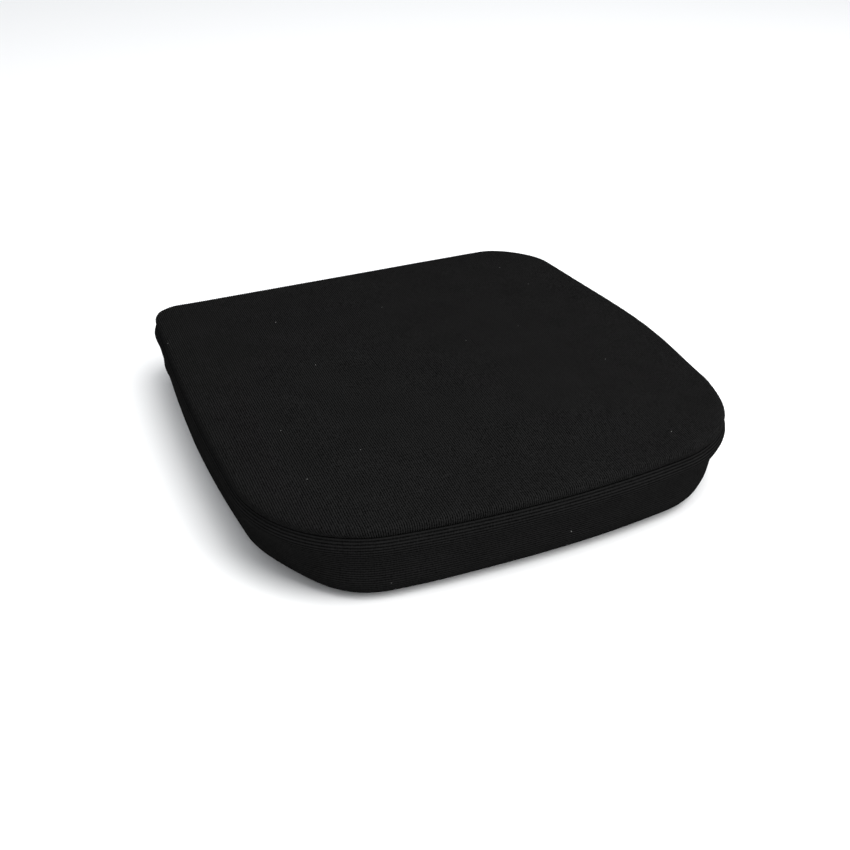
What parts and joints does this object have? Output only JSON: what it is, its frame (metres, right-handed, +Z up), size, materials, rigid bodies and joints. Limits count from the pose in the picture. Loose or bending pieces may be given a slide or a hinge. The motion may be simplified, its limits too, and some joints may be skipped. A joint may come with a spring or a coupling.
{
  "type": "seat cushion",
  "caption": "Flat boxed foam seat cushion in a rib-knit cover with rounded front corners, a zipped back and a dotted non-slip base.",
  "frame": {"origin": "middle of the cushion's footprint, on the plane of the grip dots' lower faces", "axes": "+X to the sitter's right, along the longest side; -Y the front edge; +Z up, through the thickness"},
  "size_m": [0.419, 0.4, 0.0698],
  "materials": {
    "rib_knit": "near-black rib knit, matt",
    "base_cloth": "black plain-weave cloth, matt",
    "grip_rubber": "black raised rubber dots, satin",
    "support_foam": "open-cell foam, cream",
    "memory_foam": "fine-cell foam, off-white",
    "thread": "black polyester thread",
    "zip_tape": "black herringbone tape",
    "zip_coil": "black nylon coil, satin",
    "zip_metal": "black enamelled die-cast metal, semi-gloss",
    "label_tape": "plain white satin tape, blank"
  },
  "bodies": {
    "cushion": {"cover_top_panel": "rib_knit", "cover_side_band": "rib_knit", "back_strip_upper": "rib_knit", "back_strip_lower": "rib_knit", "base_panel": "base_cloth", "grip_dots": "grip_rubber", "base_foam": "support_foam", "comfort_foam": "memory_foam", "top_seam_thread": "thread", "bottom_seam_thread": "thread", "corner_seam_threads": "thread", "zip_tape_upper": "zip_tape", "zip_tape_lower": "zip_tape", "zip_coil_upper": "zip_coil", "zip_coil_lower": "zip_coil", "zip_stitch_upper": "thread", "zip_stitch_lower": "thread", "zip_top_stops": "zip_metal", "zip_bottom_stop": "zip_metal", "care_label": "label_tape"},
    "slider": {"zip_slider": "zip_metal"},
    "pull": {"zip_pull": "zip_metal"}
  },
  "joints": [
    {"name": "zip_slide", "type": "slide", "parent": "cushion", "child": "slider", "axis": [-1, 0, 0], "range_m": [0, 0.238]},
    {"name": "pull_flip", "type": "hinge", "parent": "slider", "child": "pull", "pos_m": [0.1195, 0.1969, 0.028], "axis": [0, 0, -1], "range_deg": [0, 180]}
  ]
}
